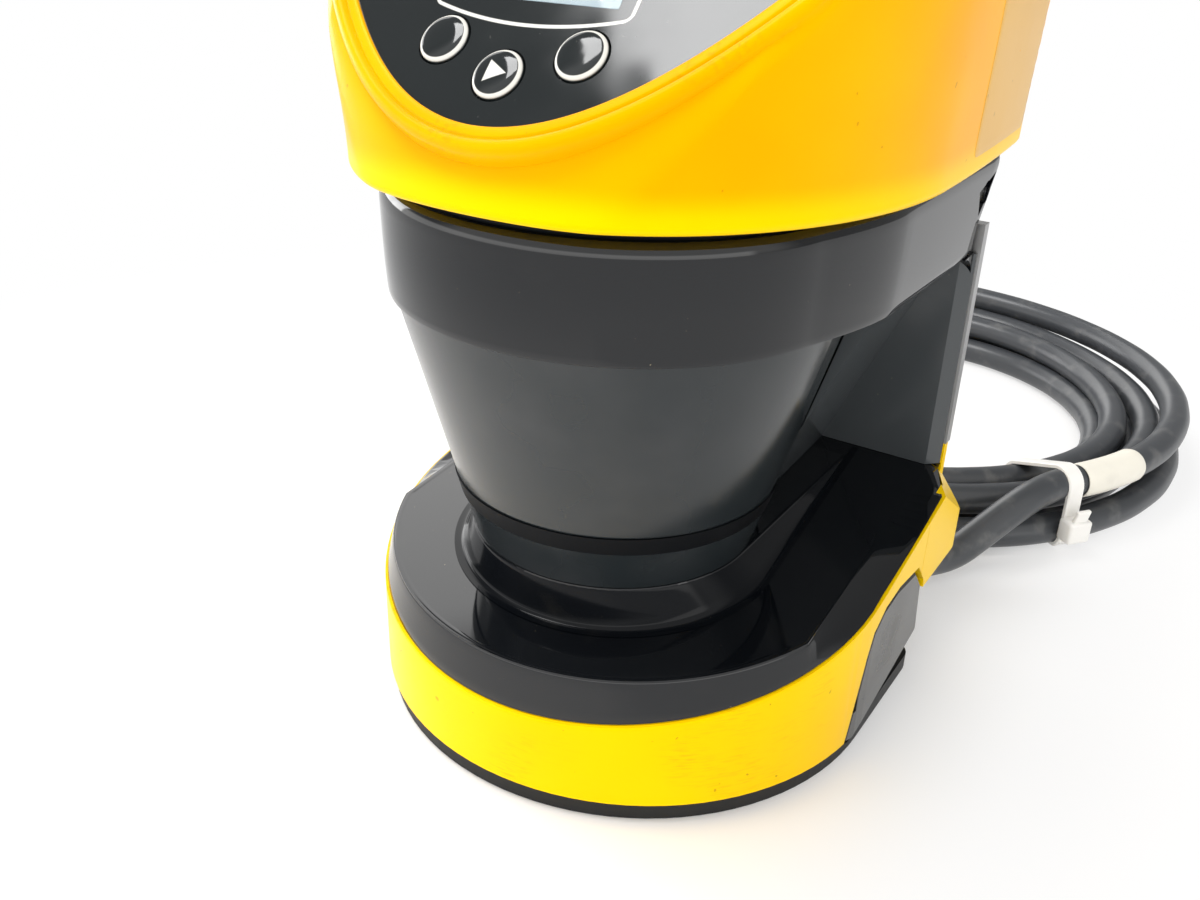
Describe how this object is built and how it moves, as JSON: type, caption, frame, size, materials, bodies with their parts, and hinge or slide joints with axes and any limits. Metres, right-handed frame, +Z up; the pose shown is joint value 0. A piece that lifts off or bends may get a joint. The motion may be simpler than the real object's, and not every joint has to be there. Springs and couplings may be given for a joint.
{
  "type": "safety laser scanner",
  "caption": "Safety laser scanner: a head with keys and a display above a conical scan window, on a horseshoe base with a rear wall and a coiled lead.",
  "frame": {"origin": "on the floor, under the middle of the box that holds the scanner without its lead", "axes": "+Z up along the scan axis, -Y towards the front, +X to the right as seen from the back of the keys' side (the lead's side)"},
  "size_m": [0.184, 0.318, 0.165],
  "materials": {
    "yellow_shell": "satin",
    "yellow_base": "satin",
    "rating_label": "satin",
    "black_gloss": "glossy",
    "scan_window": "glossy, dark filter",
    "black_matte": "matte",
    "black_rubber": "matte",
    "cable_jacket": "satin",
    "gland_nylon": "matte",
    "tie_nylon": "satin",
    "sleeve_plastic": "satin",
    "display_glass": "clear",
    "display_cell": "satin",
    "key_caps": "glossy",
    "bare_steel": "satin",
    "plate_metal": "satin",
    "motor_metal": "satin",
    "encoder_metal": "satin",
    "circuit_board": "satin",
    "lens_glass": "clear",
    "laser_barrel": "satin",
    "mirror_silver": "mirror"
  },
  "bodies": {
    "scanner": {"base_plate": "black_matte", "base_band": "yellow_base", "base_deck": "black_gloss", "side_cover_right": "black_gloss", "side_cover_left": "black_gloss", "rear_cover": "yellow_base", "window_foot": "black_gloss", "window_seal": "black_rubber", "window": "scan_window", "upper_housing": "black_gloss", "rear_column": "black_gloss", "back_plate": "plate_metal", "head_seal": "black_rubber", "head_shell": "yellow_shell", "panel_plate": "black_gloss", "lcd_lens": "display_glass", "lcd_module": "display_cell", "rating_plate": "rating_label", "motor_housing": "motor_metal", "encoder_board": "circuit_board", "receiver_lens": "lens_glass", "lens_holder": "black_matte", "receiver_board": "circuit_board", "laser_module": "laser_barrel", "display_board": "circuit_board", "main_board": "circuit_board", "base_board": "circuit_board", "board_pillars": "bare_steel", "base_screws": "bare_steel", "rear_screws": "bare_steel", "cable_gland": "gland_nylon", "cord_lead": "cable_jacket", "cord_coil": "cable_jacket", "cable_tie": "tie_nylon", "marker_sleeve": "sleeve_plastic"},
    "rotor": {"motor_shaft": "bare_steel", "mirror_carrier": "black_matte", "scan_mirror": "mirror_silver", "encoder_disc": "encoder_metal"},
    "escape_key": {"key_escape": "key_caps"},
    "arrow_key": {"key_arrow": "key_caps"},
    "enter_key": {"key_enter": "key_caps"}
  },
  "joints": [
    {"name": "mirror_spin", "type": "hinge", "parent": "scanner", "child": "rotor", "pos_m": [0, -0.011, 0.05], "axis": [0, 0, 1], "continuous": true},
    {"name": "escape_press", "type": "slide", "parent": "scanner", "child": "escape_key", "axis": [0, 0.7431, -0.6691], "range_m": [0, 0.0005], "stiffness_N_per_m": 600},
    {"name": "arrow_press", "type": "slide", "parent": "scanner", "child": "arrow_key", "axis": [0, 0.7431, -0.6691], "range_m": [0, 0.0005], "stiffness_N_per_m": 600},
    {"name": "enter_press", "type": "slide", "parent": "scanner", "child": "enter_key", "axis": [0, 0.7431, -0.6691], "range_m": [0, 0.0005], "stiffness_N_per_m": 600}
  ]
}
